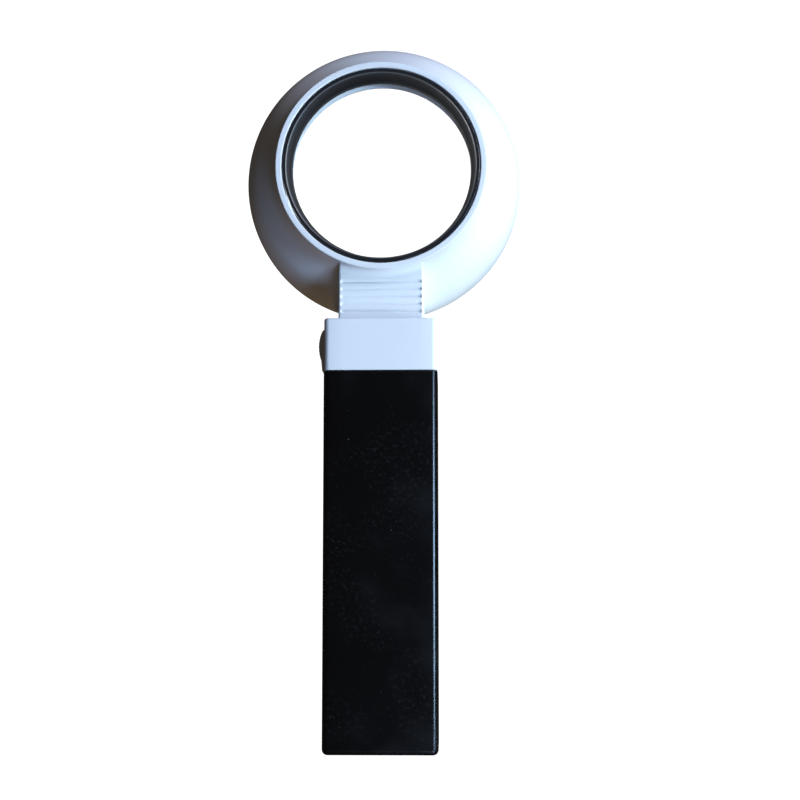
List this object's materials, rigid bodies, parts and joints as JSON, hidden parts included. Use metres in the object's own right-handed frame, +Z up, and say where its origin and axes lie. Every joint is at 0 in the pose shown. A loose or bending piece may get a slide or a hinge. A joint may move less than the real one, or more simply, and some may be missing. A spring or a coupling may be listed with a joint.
{
  "type": "low vision magnifier",
  "caption": "Illuminated stand magnifier with a bell-shaped white lens head on a ribbed pull-off neck, a white switch collar and a black rectangular battery handle.",
  "frame": {"origin": "middle of the outline, at the height of the surface that the rim and the handle's back lie on", "axes": "+Y along the handle towards the lens head, +X to the right when the lens is seen from above with the handle towards the viewer, +Z up out of the page"},
  "size_m": [0.0836, 0.212, 0.03],
  "materials": {
    "white_plastic": "smooth satin moulded plastic",
    "black_plastic": "fine-grained matte moulded plastic",
    "ring_plastic": "satin black plastic",
    "carrier_plastic": "matte black plastic",
    "holder_plastic": "matte natural plastic",
    "lens_glass": "polished clear lens",
    "lamp_glass": "clear blown glass",
    "brass": "stamped brass",
    "steel": "nickel-plated steel",
    "reflector_sheet": "bright rolled sheet",
    "solder": "dull solder",
    "cell_jacket": "plain printed jacket with no lettering",
    "cell_plate": "nickel-plated end cap"
  },
  "bodies": {
    "head": {"head_housing": "white_plastic", "lens": "lens_glass", "lens_retaining_ring": "ring_plastic", "light_reflector": "reflector_sheet"},
    "handle": {"collar_housing": "white_plastic", "battery_carrier": "carrier_plastic", "carrier_screw_1": "steel", "carrier_screw_2": "steel", "top_contact": "brass", "spring_plate": "brass", "contact_spring": "steel", "side_conductor": "brass", "cell_1_can": "cell_jacket", "cell_1_cap": "cell_plate", "cell_2_can": "cell_jacket", "cell_2_cap": "cell_plate", "lamp_holder": "holder_plastic", "lamp_cap": "brass", "lamp_tip_contact": "solder", "lamp_glass": "lamp_glass", "switch_contact_low": "brass", "switch_contact_high": "brass", "head_catch_spring": "steel"},
    "switch": {"switch_slider": "white_plastic", "switch_bridge": "brass"},
    "sleeve": {"battery_sleeve": "black_plastic"}
  },
  "joints": [
    {"name": "head_pull", "type": "slide", "parent": "handle", "child": "head", "axis": [0, 1, 0], "range_m": [0, 0.03]},
    {"name": "sleeve_pull", "type": "slide", "parent": "handle", "child": "sleeve", "axis": [0, -1, 0], "range_m": [0, 0.11]},
    {"name": "switch_slide", "type": "slide", "parent": "handle", "child": "switch", "axis": [0, 1, 0], "range_m": [0, 0.002]}
  ]
}
